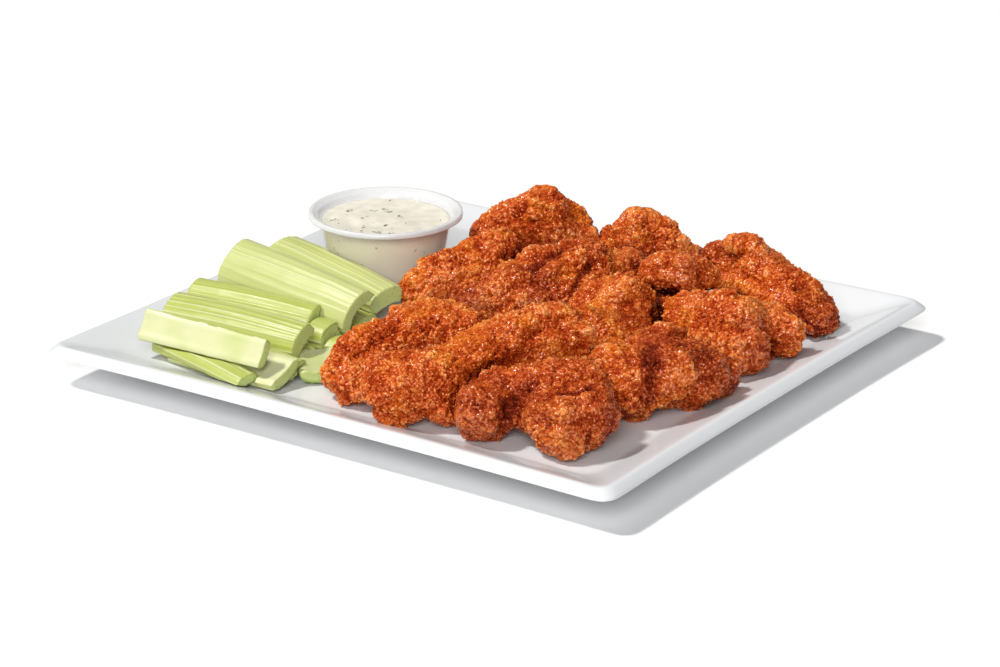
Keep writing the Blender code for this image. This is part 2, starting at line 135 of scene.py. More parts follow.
# Swellings and furrows (below zero) of the wings, in millimetres: the two ends of the line that
# each follows, its reach and its height.
FURROWS = {
    "wing_01": (
        (72.9, -99.4, 21.5, 74.8, -96.7, 28.7, 3, -2.6),
        (74.8, -96.7, 28.7, 79.6, -90, 35.6, 3, -2),
        (83, -97.8, 29, 84.4, -85.4, 39.1, 3.5, 1.2),
        (94.9, -93.2, 36.7, 102.8, -84.4, 38.5, 2, -2),
        (102.8, -85.3, 38.3, 106.8, -92.4, 20.5, 2.2, -2.2),
        (63.4, -106.4, 29.7, 64.1, -107.2, 28, 1.3, -1.8),
        (99.6, -101.2, 23.6, 102.3, -97.5, 18.6, 3.5, 1),
        (57.2, -105, 29.8, 66, -93.2, 35.6, 3, 0.8),
        (99.6, -100.3, 18, 102.3, -95, 16.1, 3.5, 2),
    ),
    "wing_02": (
        (50, -87.6, 31.6, 55.2, -78.4, 35.3, 3, -2.4),
        (55.2, -78.4, 35.3, 60.5, -63.6, 35.6, 3, -2.2),
        (62.8, -48.4, 46.2, 68.4, -50.8, 38, 2.2, -1.2),
        (44.5, -82.1, 41, 55.6, -49.2, 47.3, 4.5, 1),
        (70.3, -41.2, 38.9, 71, -41.2, 33.2, 3.5, 3),
    ),
    "wing_03": (
        (-3.7, -94.7, 27.8, 1.2, -71.6, 37.3, 2.5, -1.3),
        (2, -66.7, 40.1, 20.4, -58.7, 30, 4, 0.6),
    ),
    "wing_04": (
        (-36.8, 5.6, 34.4, -21.2, 35.6, 42.2, 4, 1),
        (-15.7, 34, 40.2, -12.8, 25.6, 31.2, 2, -1.3),
        (-15, 42.6, 37.8, -11.6, 30, 30.8, 3.5, -2.6),
    ),
    "wing_05": (
        (22.8, 38, 37.2, 23.7, 24.3, 28.5, 2.5, -2.2),
        (14.8, 23.7, 35.6, 20.1, 19.6, 28.9, 2, -1),
        (22.8, 43.5, 39.8, 13.2, 42.8, 43, 2, -1.3),
        (7.6, 17.2, 37, 10, 37, 41.5, 3, -2.6),
        (23.7, 47.6, 39.7, 31.9, 63.6, 31.1, 3, -1.6),
        (-9.2, -4.4, 27.6, 14, 27.6, 37.9, 4, 1),
    ),
    "wing_06": (
        (-34, 71.4, 41.4, -27.4, 69.8, 29.2, 3, -2.2),
        (-25.2, 73.8, 42.2, -23.6, 73.4, 40.4, 1.5, -1.3),
        (-34.3, 64.7, 27.6, -23.1, 74.2, 20.4, 3.5, -3),
        (-12.7, 92.4, 27.6, -13.6, 94, 22.2, 4, 2.5),
    ),
    "wing_07": (
        (16.8, 92.9, 37.6, 22.8, 90.2, 26, 2.5, -2),
        (-6.8, 94.3, 25, -5.2, 93.3, 22, 4, 3),
        (2.3, 91.1, 32.2, 11.6, 90.7, 38.1, 4, 1),
    ),
    "wing_08": (
        (46.5, 10.4, 32.8, 58.2, 24.4, 38.2, 3.5, 0.8),
    ),
    "wing_09": (
        (54, 39.7, 40.3, 66.5, 47.1, 43.2, 3, 0.8),
    ),
    "wing_10": (
        (110.8, 14, 33.1, 114.4, 27.2, 32.8, 2.2, -1.6),
        (114.4, 27.2, 32.8, 116.6, 31.6, 22, 2.5, -2.2),
        (116.6, 30.8, 22, 114.1, 36.3, 14.5, 2.5, -2.6),
        (114.4, 49.6, 30.4, 120.1, 47.4, 20.4, 2, -1.6),
        (110, 12.4, 30.8, 118.4, 16, 25.7, 4, 1),
        (82.8, 30.8, 35.6, 99.6, 24.1, 41.6, 3.2, 2.6),
        (120.6, 42.8, 26, 119.6, 42.8, 17.2, 4, 2.2),
        (114, 13, 18, 116.4, 22.9, 16.4, 3.5, 1.6),
    ),
    "wing_11": (
        (61.4, 83.8, 38.6, 79.2, 83.4, 43.2, 1.8, -1.8),
        (105.2, 73.9, 32.7, 111.7, 68.5, 14.8, 3, -2.6),
        (58, 82.3, 22.3, 68.1, 78.4, 23.3, 3.2, 2),
        (70, 79.2, 44.8, 77.2, 83.6, 44.2, 3, 1.6),
    ),
    "wing_12": (
        (102.8, -43.7, 41.5, 109.1, -49.8, 33.9, 3, -3),
        (109.1, -49.8, 33.9, 108.4, -52.4, 24.4, 3, -2.2),
        (110, -18, 37.1, 119.6, -22.1, 35.4, 2.4, -1.5),
        (59.6, -30.8, 25.4, 66.8, -37.4, 25.4, 4, 2.5),
    ),
}


# ---------------- settings

class TablewareSettings(bpy.types.PropertyGroup):
    glaze_colour: FloatVectorProperty(
        name="Glaze", description="Colour of the plate's glaze", subtype="COLOR",
        default=(0.742, 0.755, 0.772), min=0.0, max=1.0)
    cup_milkiness: FloatProperty(
        name="Cup milkiness", description="How much the clear plastic hides", subtype="FACTOR",
        default=0.20, min=0.0, max=1.0)
    cup_wall: FloatProperty(
        name="Cup wall", description="Thickness of the cup's wall", subtype="DISTANCE",
        unit="LENGTH", default=CUP_THICKNESS, min=0.0003, max=0.002, precision=4)


class DipSettings(bpy.types.PropertyGroup):
    dip_colour: FloatVectorProperty(
        name="Dip", description="Colour of the cream dip", subtype="COLOR",
        default=(0.82, 0.77, 0.65), min=0.0, max=1.0)
    swirl_height: FloatProperty(
        name="Swirl height", description="Height of the stirred ridges", subtype="DISTANCE",
        unit="LENGTH", default=0.0007, min=0.0, max=0.002, precision=4)
    herb_count: IntProperty(
        name="Herb flecks", description="Number of herb flecks on and in the dip",
        default=90, min=0, max=600)


class CrustSettings(bpy.types.PropertyGroup):
    crust_colour: FloatVectorProperty(
        name="Crust", description="Main colour of the fried crust", subtype="COLOR",
        default=(0.500, 0.074, 0.008), min=0.0, max=1.0)
    lump_height: FloatProperty(
        name="Lump height", description="Height of the crust's broad lumps", subtype="DISTANCE",
        unit="LENGTH", default=0.0018, min=0.0, max=0.003, precision=4)
    knob_height: FloatProperty(
        name="Knob height", description="Height of the crust's small knobs", subtype="DISTANCE",
        unit="LENGTH", default=0.0013, min=0.0, max=0.003, precision=4)
    grain_height: FloatProperty(
        name="Grain height", description="Height of the crust's grains", subtype="DISTANCE",
        unit="LENGTH", default=0.00065, min=0.0, max=0.002, precision=5)
    gap_depth: FloatProperty(
        name="Gap depth", description="How far the crust draws back where two wings meet",
        subtype="DISTANCE", unit="LENGTH", default=0.0021, min=0.0, max=0.004, precision=4)
    voxel: FloatProperty(
        name="Fineness", description="Spacing of the crust's mesh", subtype="DISTANCE",
        unit="LENGTH", default=0.00038, min=0.0003, max=0.002, precision=6)
    crumb_count: IntProperty(
        name="Crumbs", description="Number of crumbs stuck to the crust",
        default=4200, min=0, max=9000)


class CelerySettings(bpy.types.PropertyGroup):
    skin_colour: FloatVectorProperty(
        name="Skin", description="Colour of the celery's outer side", subtype="COLOR",
        default=(0.405, 0.45, 0.096), min=0.0, max=1.0)
    flesh_colour: FloatVectorProperty(
        name="Flesh", description="Colour of the celery's inner side", subtype="COLOR",
        default=(0.66, 0.67, 0.38), min=0.0, max=1.0)
    rib_height: FloatProperty(
        name="Rib height", description="Height of the ribs along a stick", subtype="DISTANCE",
        unit="LENGTH", default=0.00030, min=0.0, max=0.001, precision=5)
    rib_pitch: FloatProperty(
        name="Rib pitch", description="Distance between ribs", subtype="DISTANCE",
        unit="LENGTH", default=0.0040, min=0.001, max=0.008, precision=4)


class StageSettings(bpy.types.PropertyGroup):
    camera_heading: FloatProperty(
        name="Camera heading", description="Side the camera looks from", subtype="ANGLE",
        unit="ROTATION", default=math.radians(34.32))
    camera_elevation: FloatProperty(
        name="Camera elevation", description="Height angle of the camera", subtype="ANGLE",
        unit="ROTATION", default=math.radians(20.49))
    camera_distance: FloatProperty(
        name="Camera distance", description="From the camera to what it looks at",
        subtype="DISTANCE", unit="LENGTH", default=1.400, min=0.3, max=5.0)
    key_power: FloatProperty(
        name="Key light", description="Strength of the main light",
        default=2.55, min=0.0, max=20.0)
    fill_power: FloatProperty(
        name="Fill light", description="Strength of the broad light from the front",
        default=2.0, min=0.0, max=20.0)
    sky_power: FloatProperty(
        name="Surrounding light", description="Strength of the light from all round",
        default=0.18, min=0.0, max=5.0)


# ---------------- shader building

class Tint:
    """A shader socket. Sums, differences and products of tints add Math nodes."""

    def __init__(self, finish, socket):
        self.finish = finish
        self.socket = socket

    def maths(self, operation, first, second):
        return self.finish.node("ShaderNodeMath", {"operation": operation}, {0: first, 1: second})

    def __add__(self, other):
        return self.maths("ADD", self, other)

    __radd__ = __add__

    def __sub__(self, other):
        return self.maths("SUBTRACT", self, other)

    def __rsub__(self, other):
        return self.maths("SUBTRACT", other, self)

    def __mul__(self, other):
        return self.maths("MULTIPLY", self, other)

    __rmul__ = __mul__


class Finish:
    """A material with one Principled shader, and the nodes that feed it."""

    def __init__(self, name, colour, **constants):
        self.material = bpy.data.materials.new(name)
        self.material.use_nodes = True
        self.material.diffuse_color = (*colour, 1.0)
        self.tree = self.material.node_tree
        self.shader = self.tree.nodes["Principled BSDF"]
        self.feed("Base Color", colour)
        for socket, value in constants.items():
            self.feed(socket.replace("_", " "), value)
        self.place = self.node("ShaderNodeTexCoord", out="Object")

    def put(self, socket, value):
        """Links a tint to a socket, or sets the socket to a plain colour or number."""
        if isinstance(value, Tint):
            self.tree.links.new(value.socket, socket)
        elif socket.type == "RGBA":
            socket.default_value = (*value, 1.0)
        else:
            socket.default_value = value

    def feed(self, socket, value):
        self.put(self.shader.inputs[socket], value)

    def node(self, kind, settings=None, values=None, out=0):
        """A new node with its settings, then the values or links of its sockets."""
        made = self.tree.nodes.new(kind)
        for name, value in (settings or {}).items():
            if name == "stops":
                self.set_stops(made.color_ramp, value)
            else:
                setattr(made, name, value)
        for name, value in (values or {}).items():
            self.put(made.inputs[name], value)
        return Tint(self, made.outputs[out])

    def set_stops(self, ramp, stops):
        while len(ramp.elements) < len(stops):
            ramp.elements.new(0.5)
        for element, (position, colour) in zip(ramp.elements, stops):
            element.position = position
            element.color = (*colour, 1.0)

    def ramp(self, factor, stops):
        return self.node("ShaderNodeValToRGB", {"stops": stops}, {0: factor})

    def span(self, value, low, high):
        """The value's place between low and high, from 0 to 1."""
        return self.node("ShaderNodeMapRange", {"interpolation_type": "SMOOTHSTEP"},
                         {"Value": value, "From Min": low, "From Max": high})

    def noise(self, size, detail=2.0, place=None, out="Fac"):
        return self.node("ShaderNodeTexNoise", None,
                         {"Vector": place or self.place, "Scale": 1.0 / size, "Detail": detail},
                         out)

    def cells(self, size, out="Distance", place=None):
        return self.node("ShaderNodeTexVoronoi", None,
                         {"Vector": place or self.place, "Scale": 1.0 / size}, out)

    def blend(self, factor, first, second):
        return self.node("ShaderNodeMix", {"data_type": "RGBA"},
                         {0: factor, 6: first, 7: second}, 2)

    def attribute(self, name):
        return self.node("ShaderNodeAttribute", {"attribute_name": name}, None, "Fac")

    def bump(self, height, distance, strength=1.0):
        return self.node("ShaderNodeBump", None,
                         {"Height": height, "Distance": distance, "Strength": strength})


# ---------------- finishes

def glaze_finish(settings):
    """White glazed porcelain: slightly wavy, very glossy."""
    glaze = tuple(settings.glaze_colour)
    shade = tuple(0.975 * channel for channel in glaze)
    finish = Finish("white_glaze", glaze, IOR=1.52)
    waves = finish.noise(0.035, 2.0)
    specks = finish.noise(0.0012, 1.0)
    finish.feed("Base Color", finish.blend(finish.span(waves, 0.35, 0.7), shade, glaze))
    finish.feed("Roughness", 0.09 + 0.07 * finish.span(specks, 0.4, 0.8))
    finish.feed("Normal", finish.bump(waves, 0.0006, 0.25))
    return finish.material


def cup_finish(settings):
    """Clear moulded plastic, milky and thicker at its rim."""
    finish = Finish("cup_plastic", (0.86, 0.86, 0.86), IOR=1.46)
    flow = finish.noise(0.012, 2.0)
    fine = finish.noise(0.0009, 1.0)
    height = finish.node("ShaderNodeSeparateXYZ", None, {0: finish.place}, 2)
    middle, tall, _ = cup_sizes()
    top = middle.z + tall
    collar = finish.span(height, dip_level() - 0.0010, dip_level() + 0.0006)
    lip = finish.span(height, top - 0.0030, top - 0.0022)
    finish.feed("Base Color", finish.blend(flow, (0.80, 0.80, 0.805), (0.85, 0.85, 0.85)))
    finish.feed("Roughness", 0.18 + 0.12 * flow)
    wall = settings.cup_milkiness - 0.04 + 0.08 * flow
    finish.feed("Alpha", wall + collar * 0.30 + lip * 0.22)
    finish.feed("Normal", finish.bump(fine, 0.00004, 0.4))
    return finish.material


def dip_finish(settings):
    """Thick cream with a wet sheen and faint streaks."""
    finish = Finish("cream_dip", tuple(settings.dip_colour))
    streaks = finish.noise(0.006, 4.0)
    curds = finish.noise(0.0012, 2.0)
    dark = tuple(0.93 * channel for channel in settings.dip_colour)
    light = tuple(min(1.0, 1.04 * channel) for channel in settings.dip_colour)
    cream = finish.blend(finish.span(streaks, 0.35, 0.65), dark, light)
    height = finish.node("ShaderNodeSeparateXYZ", None, {0: finish.place}, 2)
    # The side seen through the cup's wall takes painted shade, darker and browner towards the
    # bottom.
    below = 1.0 - finish.span(height, dip_level() - 0.0040, dip_level() - 0.0016)
    low = 1.0 - finish.span(height, dip_level() - 0.0280, dip_level() - 0.0060)
    side = finish.blend(low, (0.88, 0.82, 0.64), (0.72, 0.63, 0.45))
    finish.feed("Base Color", finish.blend(below, cream, side))
    finish.feed("Roughness", 0.26 + 0.16 * streaks)
    finish.feed("Normal", finish.bump(streaks * 0.7 + curds * 0.3, 0.0004, 0.5))
    return finish.material


def herb_finish():
    """Chopped dried herb under a film of cream, from grey-green to dark green."""
    finish = Finish("chopped_herb", (0.10, 0.12, 0.07), Roughness=0.45)
    shade = finish.attribute("shade")
    patch = finish.noise(0.0010, 2.0)
    finish.feed("Base Color", finish.ramp(shade * 0.7 + patch * 0.3, [
        (0.10, (0.090, 0.105, 0.070)), (0.40, (0.250, 0.275, 0.190)), (0.75, (0.50, 0.51, 0.41))]))
    finish.feed("Normal", finish.bump(finish.noise(0.0003), 0.0001))
    return finish.material


def crust_finish(settings):
    """Crumbly fried crust: orange grains, with painted shade darkening the creases and a painted
    highlight on the golden grain tips, wet with sauce.
    """
    main = tuple(settings.crust_colour)
    finish = Finish("fried_crust", main, IOR=1.42)
    relief = finish.attribute("relief")
    grain = finish.attribute("grain")
    toast = finish.attribute("toast")
    wander = finish.noise(0.0012, 1.0, out="Color")
    bent = finish.node("ShaderNodeVectorMath", {"operation": "MULTIPLY_ADD"},
                       {0: wander, 1: (0.0007, 0.0007, 0.0007), 2: finish.place})
    crumbs = 1.0 - finish.cells(CRUMB_SIZE, place=bent)
    tone = finish.cells(CRUMB_SIZE, "Color", bent)
    fine = finish.noise(0.0005, 2.0)
    # Colour follows height: the low spots between crumbs and grains take painted shade, and the
    # high tips take a painted highlight.
    height = finish.span(relief + 0.38 * crumbs + 0.12 * fine + 0.12 * grain + 0.10 * tone,
                         0.30, 1.22)
    body = finish.ramp(height, [
        (0.00, (0.085, 0.004, 0.0004)), (0.25, (0.310, 0.028, 0.002)),
        (0.55, main), (0.80, (0.70, 0.145, 0.020)), (1.00, (0.88, 0.32, 0.085))])
    brown = finish.ramp(height, [
        (0.00, (0.045, 0.003, 0.0005)), (0.35, (0.190, 0.018, 0.003)),
        (0.65, (0.350, 0.046, 0.009)), (1.00, (0.58, 0.13, 0.030))])
    golden = finish.ramp(height, [
        (0.00, (0.220, 0.018, 0.001)), (0.40, (0.620, 0.112, 0.006)),
        (0.75, (0.78, 0.21, 0.016)), (1.00, (0.92, 0.38, 0.070))])
    gold_patch = finish.span(finish.noise(0.012, 2.0), 0.50, 0.66)
    # Browner where the crust is toasted, and with painted shade low on the wings, in the furrows
    # and where wings crowd each other.
    colour = finish.blend(finish.span(toast, 0.15, 0.85), body, brown)
    colour = finish.blend(gold_patch * (1.0 - toast) * 0.60, colour, golden)
    finish.feed("Base Color", colour)
    finish.feed("Roughness", 0.66 - 0.34 * finish.span(height, 0.35, 0.75))
    finish.shader.inputs["Specular IOR Level"].default_value = 0.10
    glints = finish.span(height, 0.45, 0.70) * finish.span(finish.noise(0.0010, 1.0), 0.44, 0.56)
    finish.feed("Coat Weight", glints)
    finish.shader.inputs["Coat Roughness"].default_value = 0.20
    finish.shader.inputs["Coat IOR"].default_value = 1.56
    finish.feed("Normal", finish.bump(crumbs * 0.8 + fine * 0.3, 0.00055, 1.0))
    return finish.material


def celery_finish(settings):
    """Celery: ribbed skin outside, cream flesh inside, dotted pith in the cut ends."""
    skin = tuple(settings.skin_colour)
    flesh = tuple(settings.flesh_colour)
    finish = Finish("celery_flesh", skin, IOR=1.42)
    across = finish.attribute("across")
    along = finish.attribute("along")
    rib = finish.attribute("rib")
    inner = finish.attribute("inner")
    end = finish.attribute("end")
    core = finish.attribute("core")
    pale = finish.attribute("pale")
    drawn_out = finish.node("ShaderNodeCombineXYZ", None,
                            {0: along * 0.05, 1: across, 2: inner * 0.01})
    stripes = finish.noise(0.0013, 2.0, drawn_out)
    wide = finish.noise(0.0060, 1.0, drawn_out)
    fibres = finish.noise(0.0004, 1.0, drawn_out)
    blotch = finish.noise(0.006, 2.0)
    green = finish.blend(finish.span(stripes + 0.35 * blotch, 0.45, 0.90), skin,
                         tuple(1.12 * channel for channel in skin))
    green = finish.blend(finish.span(wide, 0.40, 0.70) * 0.50, green, (0.55, 0.60, 0.24))
    green = finish.blend(finish.span(rib, 0.30, 0.85) * 0.42, green, (0.76, 0.78, 0.52))
    green = finish.blend(pale * 0.32, green, (0.74, 0.75, 0.45))
    ripe = finish.span(finish.noise(0.020, 1.0) + 0.15 * blotch + 0.30 * pale, 0.42, 0.72)
    cream = finish.blend(ripe, (0.54, 0.60, 0.24), flesh)
    colour = finish.blend(inner, green, cream)
    dots = finish.span(finish.cells(0.0021), 0.08, 0.30)
    pith = finish.blend(dots, (0.38, 0.49, 0.12), (0.52, 0.62, 0.22))
    cut = finish.blend(finish.span(core, 0.15, 0.70), (0.24, 0.36, 0.05), pith)
    colour = finish.blend(end, colour, cut)
    finish.feed("Base Color", colour)
    finish.feed("Roughness", 0.24 + 0.22 * blotch)
    finish.shader.inputs["Subsurface Weight"].default_value = 0.15
    finish.shader.inputs["Subsurface Radius"].default_value = (1.0, 1.0, 0.4)
    finish.shader.inputs["Subsurface Scale"].default_value = 0.0025
    finish.feed("Normal", finish.bump(fibres * 0.4 + stripes * 0.6, 0.00022, 0.4))
    return finish.material


def floor_finish():
    """A plain pale table top."""
    finish = Finish("pale_floor", (0.92, 0.92, 0.92), Roughness=0.6)
    grain = finish.noise(0.02, 2.0)
    finish.feed("Base Color", finish.blend(grain, (0.915, 0.915, 0.915), (0.93, 0.93, 0.93)))
    return finish.material


# ---------------- mesh helpers

def add_piece(name, shape_or_mesh, material, smooth=True):
    """An object from a bmesh or a mesh, in the scene's collection."""
    mesh = shape_or_mesh
    if isinstance(shape_or_mesh, bmesh.types.BMesh):
        mesh = bpy.data.meshes.new(name)
        shape_or_mesh.to_mesh(mesh)
        shape_or_mesh.free()
    mesh.materials.clear()
    mesh.materials.append(material)
    if smooth:
        mesh.shade_smooth()
    piece = bpy.data.objects.new(name, mesh)
    bpy.context.scene.collection.objects.link(piece)
    return piece


def merged_copy(node):
    """A bmesh of a frame node with its loose triangles joined."""
    shape = bmesh.new()
    shape.from_mesh(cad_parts[node].data)
    bmesh.ops.remove_doubles(shape, verts=shape.verts, dist=WELD)
    return shape


def finished_mesh(piece):
    """The piece's mesh with its modifiers applied; the piece itself is removed."""
    bpy.context.view_layer.update()
    depsgraph = bpy.context.evaluated_depsgraph_get()
    mesh = bpy.data.meshes.new_from_object(piece.evaluated_get(depsgraph))
    mesh.name = piece.name
    bpy.data.objects.remove(piece)
    return mesh


def remeshed(name, shape, voxel, material, levels, smooth_steps):
    """A close, even skin over a coarse shape, which is first rounded where levels says so."""
    piece = add_piece(name, shape, material)
    if levels:
        rounded = piece.modifiers.new("rounded", "SUBSURF")
        rounded.levels = levels
        rounded.render_levels = levels
    skin = piece.modifiers.new("skin", "REMESH")
    skin.mode = "VOXEL"
    skin.voxel_size = voxel
    eased = piece.modifiers.new("eased", "SMOOTH")
    eased.iterations = smooth_steps
    return finished_mesh(piece)


def read_points(mesh, what="co"):
    """The places of a mesh's points, or their normals."""
    values = np.zeros(len(mesh.vertices) * 3, np.float32)
    if what == "co":
        mesh.vertices.foreach_get("co", values)
    else:
        mesh.vertex_normals.foreach_get("vector", values)
    return values.reshape(-1, 3)


def write_points(mesh, points):
    mesh.vertices.foreach_set("co", np.asarray(points, np.float32).ravel())
    mesh.update()


def write_attribute(mesh, name, values):
    layer = mesh.attributes.new(name, "FLOAT", "POINT")
    layer.data.foreach_set("value", np.asarray(values, np.float32))


def read_attribute(mesh, name):
    values = np.zeros(len(mesh.vertices), np.float32)
    mesh.attributes[name].data.foreach_get("value", values)
    return values


def upright_turns(normals, rng, lean):
    """A turn for each normal that lays a bit's Z along it, give or take some lean."""
    z = normals + rng.normal(0, lean, normals.shape)
    z /= np.linalg.norm(z, axis=1, keepdims=True)
    x = np.cross(z, rng.normal(0, 1, normals.shape))
    x /= np.linalg.norm(x, axis=1, keepdims=True)
    return np.stack([x, np.cross(z, x), z], axis=1)


def scattered_bits(middles, normals, sizes, widths, heights, lean, rng):
    """A mesh of small ragged bits, each with its own shape, turn and size."""
    count = len(middles)
    shape = bmesh.new()
    bmesh.ops.create_icosphere(shape, subdivisions=1, radius=1.0)
    corners = len(shape.verts)
    while len(shape.verts) < count * corners:
        shape.verts.ensure_lookup_table()
        missing = count * corners - len(shape.verts)
        chosen = shape.verts[:min(missing, len(shape.verts))]
        linked = {face for vertex in chosen for face in vertex.link_faces}
        bmesh.ops.duplicate(shape, geom=list(linked))
    mesh = bpy.data.meshes.new("bits")
    shape.to_mesh(mesh)
    shape.free()
    points = read_points(mesh).reshape(count, corners, 3)
    points = points * rng.uniform(0.65, 1.2, (count, corners, 1))
    scale = np.stack([sizes, sizes * rng.uniform(*widths, count),
                      sizes * rng.uniform(*heights, count)], axis=1)
    turned = np.einsum("nci,nij->ncj", points * scale[:, None, :],
                       upright_turns(normals, rng, lean))
    write_points(mesh, (turned + middles[:, None, :]).reshape(-1, 3))
    return mesh


def turned_shape(profile, steps, middle):
    """A bmesh turned round an upright axis through middle from radius and height pairs."""
    shape = bmesh.new()
    points = [shape.verts.new((radius, 0.0, height)) for radius, height in profile]
    for first, second in zip(points, points[1:]):
        shape.edges.new((first, second))
    bmesh.ops.spin(shape, geom=shape.verts[:] + shape.edges[:], axis=(0, 0, 1), cent=(0, 0, 0),
                   angle=math.tau, steps=steps, use_merge=True)
    bmesh.ops.remove_doubles(shape, verts=shape.verts, dist=WELD)
    bmesh.ops.recalc_face_normals(shape, faces=shape.faces)
    bmesh.ops.translate(shape, verts=shape.verts, vec=middle)
    return shape


def settle(piece, slot, *nodes):
    """The piece rides on the serving and stands for its nodes; its slot is not used."""
    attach(piece, "root")
    if nodes:
        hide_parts(*nodes)


# ---------------- tableware

def make_plate(settings):
    """The frame's plate with its flats made whole and its edges rounded."""
    shape = merged_copy("plate")
    level = [edge for edge in shape.edges
             if all(abs(face.normal.z) > 0.99999 for face in edge.link_faces)]
    bmesh.ops.dissolve_limit(shape, angle_limit=math.radians(0.5), verts=[], edges=level)
    bmesh.ops.join_triangles(shape, faces=shape.faces, angle_face_threshold=math.radians(40),
                             angle_shape_threshold=math.radians(60))
    for face in [face for face in shape.faces if len(face.verts) > 6]:
        bmesh.ops.inset_region(shape, faces=[face], thickness=0.004, use_even_offset=True)
    piece = add_piece("dinner_plate", shape, glaze_finish(settings))
    rounded = piece.modifiers.new("rounded", "SUBSURF")
    rounded.levels = 2
    rounded.render_levels = 2
    settle(piece, "porcelain", "plate")


def cup_sizes():
    """Middle of the cup's foot, the cup's height and its rim's radius, from the frame."""
    low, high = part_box("cup")
    middle = Vector(((low.x + high.x) / 2, (low.y + high.y) / 2, low.z))
    return middle, high.z - low.z, (high.x - low.x) / 2


def cup_wall(level, height):
    """Outside radius of the cup's wall at a level above its foot."""
    return CUP_BASE + (CUP_NECK - CUP_BASE) * level / height


def cup_profile(wall):
    """The cup's outline from the middle of its floor inside, over the rim, to its foot."""
    _, height, rim = cup_sizes()
    roll = 0.0012
    profile = [(0.0, 0.0010), (CUP_BASE - 0.0040, 0.0010), (CUP_BASE - 0.0018, 0.0014)]
    for level in (0.003, 0.012, 0.022, height - 0.0042):
        profile.append((cup_wall(level, height) - wall, level))
    neck = cup_wall(height, height)
    profile += [(neck - wall + 0.0001, height - 0.0028), (neck - wall + 0.0006, height - 0.0018),
                (neck - wall + 0.0016, height - 0.0010), (rim - 2 * roll - 0.0004, height - 0.0007)]
    for step in range(9):
        angle = math.radians(160 - 30 * step)
        drop = 0.0014 if step > 4 else 0
        profile.append((rim - roll + roll * math.cos(angle),
                        height - 0.5 * roll + 0.5 * roll * math.sin(angle) - drop))
    profile += [(rim - 2 * roll - 0.0002, height - 0.0019), (neck + 0.0008, height - 0.0021),
                (neck + 0.0001, height - 0.0029)]
    for level in (height - 0.0048, 0.022, 0.012, 0.0014):
        profile.append((cup_wall(level, height), level))
    profile += [(CUP_BASE - 0.0006, 0.0004), (CUP_BASE - 0.0016, 0.0), (CUP_BASE - 0.0030, 0.0004),
                (0.0, 0.0006)]
    return profile


def make_cup(settings):
    """The cup, turned from its outline."""
    middle, _, _ = cup_sizes()
    shape = turned_shape(cup_profile(settings.cup_wall), 128, middle)
    piece = add_piece("portion_cup", shape, cup_finish(settings))
    settle(piece, "cup_plastic", "cup")


# ---------------- dip and herbs

def dip_height(x, y, swirl):
    """Height of the stirred surface over its level, at a place measured from the cup's middle."""
    radius = math.hypot(x, y)
    angle = math.atan2(y, x)
    spiral = math.sin(2 * angle + radius / 0.0065 + 0.8 * math.sin(angle + 1.0))
    drag = noise.noise(Vector((x / 0.009, y / 0.016, 3.0)))
    ridges = noise.noise(Vector((x / 0.003, y / 0.007, 9.0)))
    return swirl * (0.6 * spiral * min(1.0, radius / 0.012) + 0.7 * drag + 0.25 * ridges)


def dip_level():
    """Height of the dip's surface, from the frame's dip without its waves."""
    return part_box("dip")[1].z - DIP_WAVES


def make_dip(settings):
    """The dip, turned to fill the cup, with its top stirred."""
    middle, height, _ = cup_sizes()
    level = dip_level() - middle.z

    def inside(at):
        return cup_wall(at, height) - CUP_THICKNESS + DIP_INTO_WALL

    edge = inside(level)
    rings = 36
    profile = [(0.0, level)]
    for ring in range(1, rings):
        profile.append((edge * ring / rings * 0.99, level))
    profile += [(edge - 0.0001, level - 0.0001), (edge, level - 0.0004)]
    profile += [(inside(at), at) for at in (0.020, 0.010, 0.0032)]
    profile += [(CUP_BASE - 0.0030, 0.0009), (0.0, 0.0009)]
    shape = turned_shape(profile, 144, middle)
    top = middle.z + level - 0.00005
    for vertex in shape.verts:
        x = vertex.co.x - middle.x
        y = vertex.co.y - middle.y
        if vertex.co.z > top:
            fade = min(1.0, max(0.0, edge - math.hypot(x, y)) / 0.003)
            vertex.co.z += fade * dip_height(x, y, settings.swirl_height)
    piece = add_piece("cream_dip", shape, dip_finish(settings))
    settle(piece, "dip", "dip")


def make_herbs(settings):
    """Herb flecks in small clusters on the dip and against the cup's wall."""
    rng = np.random.default_rng(41)
    middle, height, _ = cup_sizes()
    level = dip_level()
    reach = cup_wall(level - middle.z, height) - 0.004
    count = settings.herb_count
    side_count = count // 2
    spots = disc_spots(HERB_CLUSTERS, reach, rng)
    loose = disc_spots(count, reach, rng)
    clustered = spots[rng.integers(0, HERB_CLUSTERS, count)] + rng.normal(0, 0.0009, (count, 2))
    flat = np.where(rng.random((count, 1)) < 0.85, clustered, loose)
    tops = [(middle.x + x, middle.y + y, level + dip_height(x, y, settings.swirl_height))
            for x, y in flat]
    angles = rng.uniform(0, math.tau, side_count)
    levels = rng.uniform(0.004, 0.026, side_count)
    outwards = np.stack([np.cos(angles), np.sin(angles), np.zeros(side_count)], axis=1)
    sides = np.array(middle) + outwards * (cup_wall(levels, height) - FLECK_DEPTH)[:, None]
    sides[:, 2] += levels
    normals = np.concatenate([np.tile((0.0, 0.0, 1.0), (count, 1)), outwards])
    sizes = 0.00045 + 0.0010 * rng.random(len(normals)) ** 1.5
    sizes[count:] *= 0.9
    mesh = scattered_bits(np.concatenate([tops, sides]), normals, sizes, (0.35, 0.8),
                          (0.12, 0.2), 0.12, rng)
    corners = len(mesh.vertices) // len(sizes)
    write_attribute(mesh, "shade", np.repeat(rng.random(len(sizes)), corners))
    settle(add_piece("herb_flecks", mesh, herb_finish(), smooth=False), "dip")


def disc_spots(count, reach, rng):
    """Random places on a disc."""
    angles = rng.uniform(0, math.tau, count)
    radii = reach * np.sqrt(rng.random(count))
    return np.stack([radii * np.cos(angles), radii * np.sin(angles)], axis=1)


# ---------------- crust

